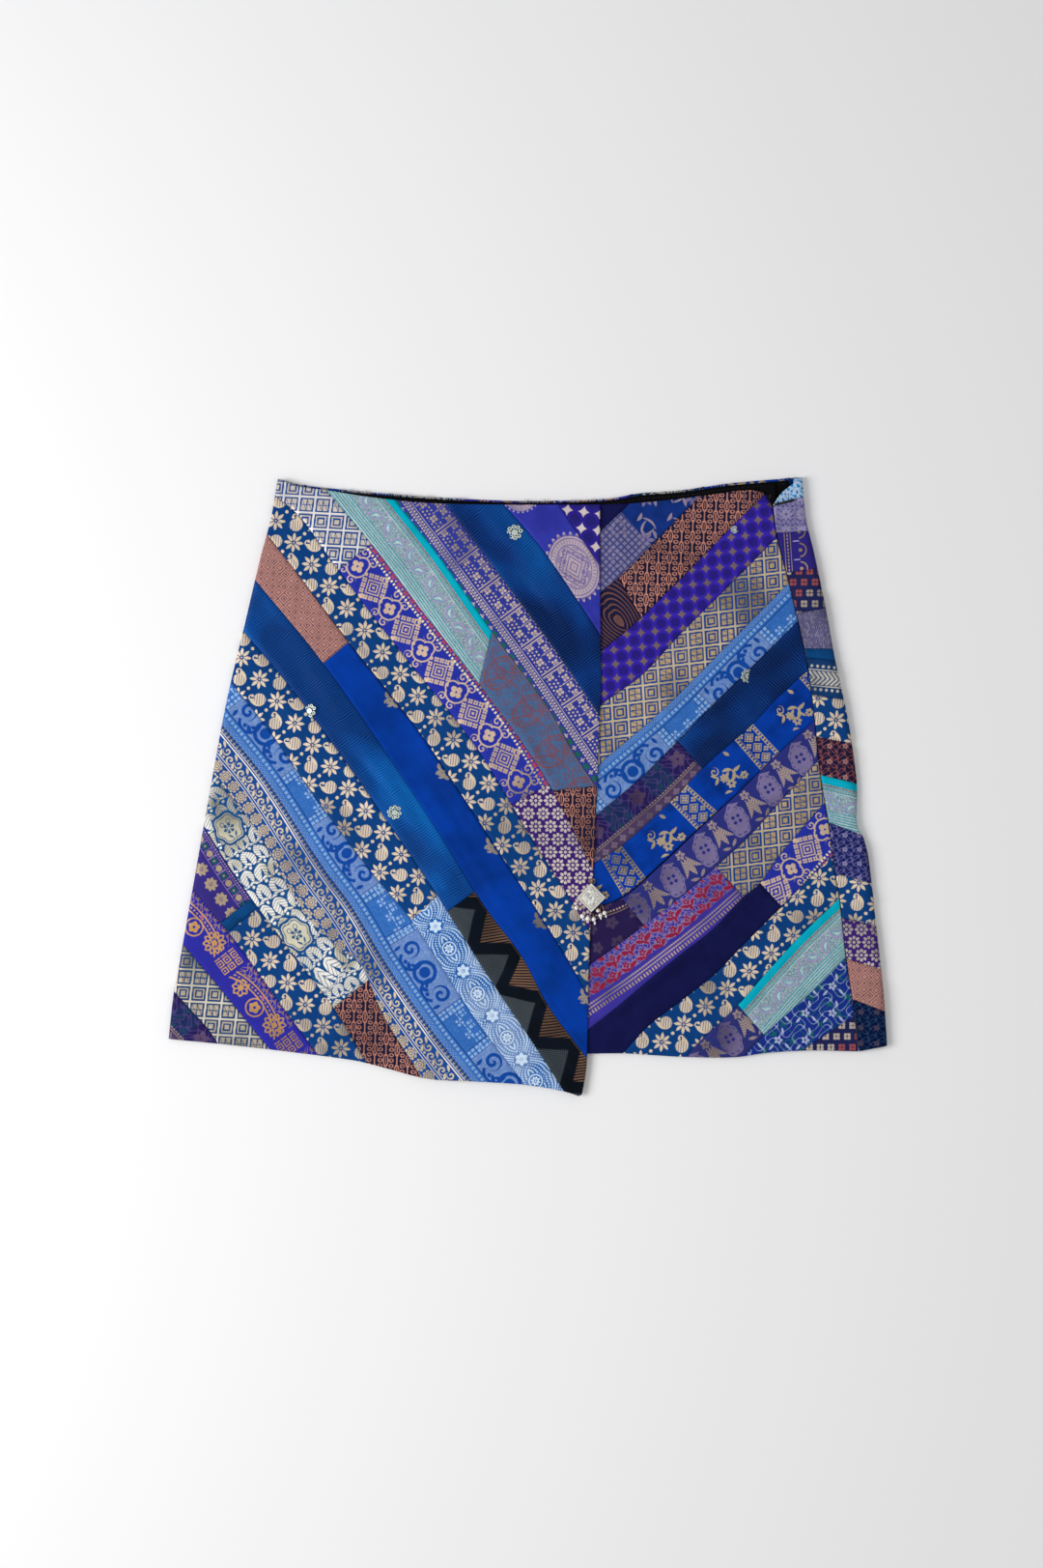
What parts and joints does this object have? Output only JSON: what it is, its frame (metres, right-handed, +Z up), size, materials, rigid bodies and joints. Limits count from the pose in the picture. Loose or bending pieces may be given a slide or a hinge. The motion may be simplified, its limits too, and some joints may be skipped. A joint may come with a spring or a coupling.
{
  "type": "patchwork wrap mini skirt",
  "caption": "Wrap mini skirt of woven blue and violet patchwork strips, laid flat, with a pointed front hem, black waist facing and a diamond brooch.",
  "frame": {"origin": "centre of the laid skirt's outline, on the surface it lies on", "axes": "+Y towards the waist, +X to the viewer's right, +Z up out of the front"},
  "size_m": [0.5048, 0.4354, 0.0084],
  "materials": {
    "patchwork_over": "woven silk and brocade strips in blues and violets, soft satin sheen, cream, gold and copper threads",
    "patchwork_under": "woven silk and brocade strips in blues and violets, soft satin sheen, gold and lilac threads",
    "patchwork_back": "woven silk and brocade strips in navy, violet and turquoise, soft satin sheen",
    "black_facing": "matte black lining cloth",
    "black_tape": "matte black woven tape",
    "black_thread": "matte black twisted thread",
    "hook_metal": "bright bent wire",
    "brooch_silver": "bright silver metal with stepped edges",
    "brooch_crystal": "clear and white cut stones"
  },
  "bodies": {
    "root": {"back_panel": "patchwork_back", "front_under_panel": "patchwork_under", "front_over_panel": "patchwork_over", "back_facing": "black_facing", "placket_tape": "black_tape", "waist_hook": "hook_metal", "thread_loop": "black_thread", "brooch_frame": "brooch_silver", "brooch_stone_1": "brooch_crystal", "brooch_stone_2": "brooch_crystal", "brooch_stone_3": "brooch_crystal", "brooch_stone_4": "brooch_crystal"}
  },
  "joints": []
}
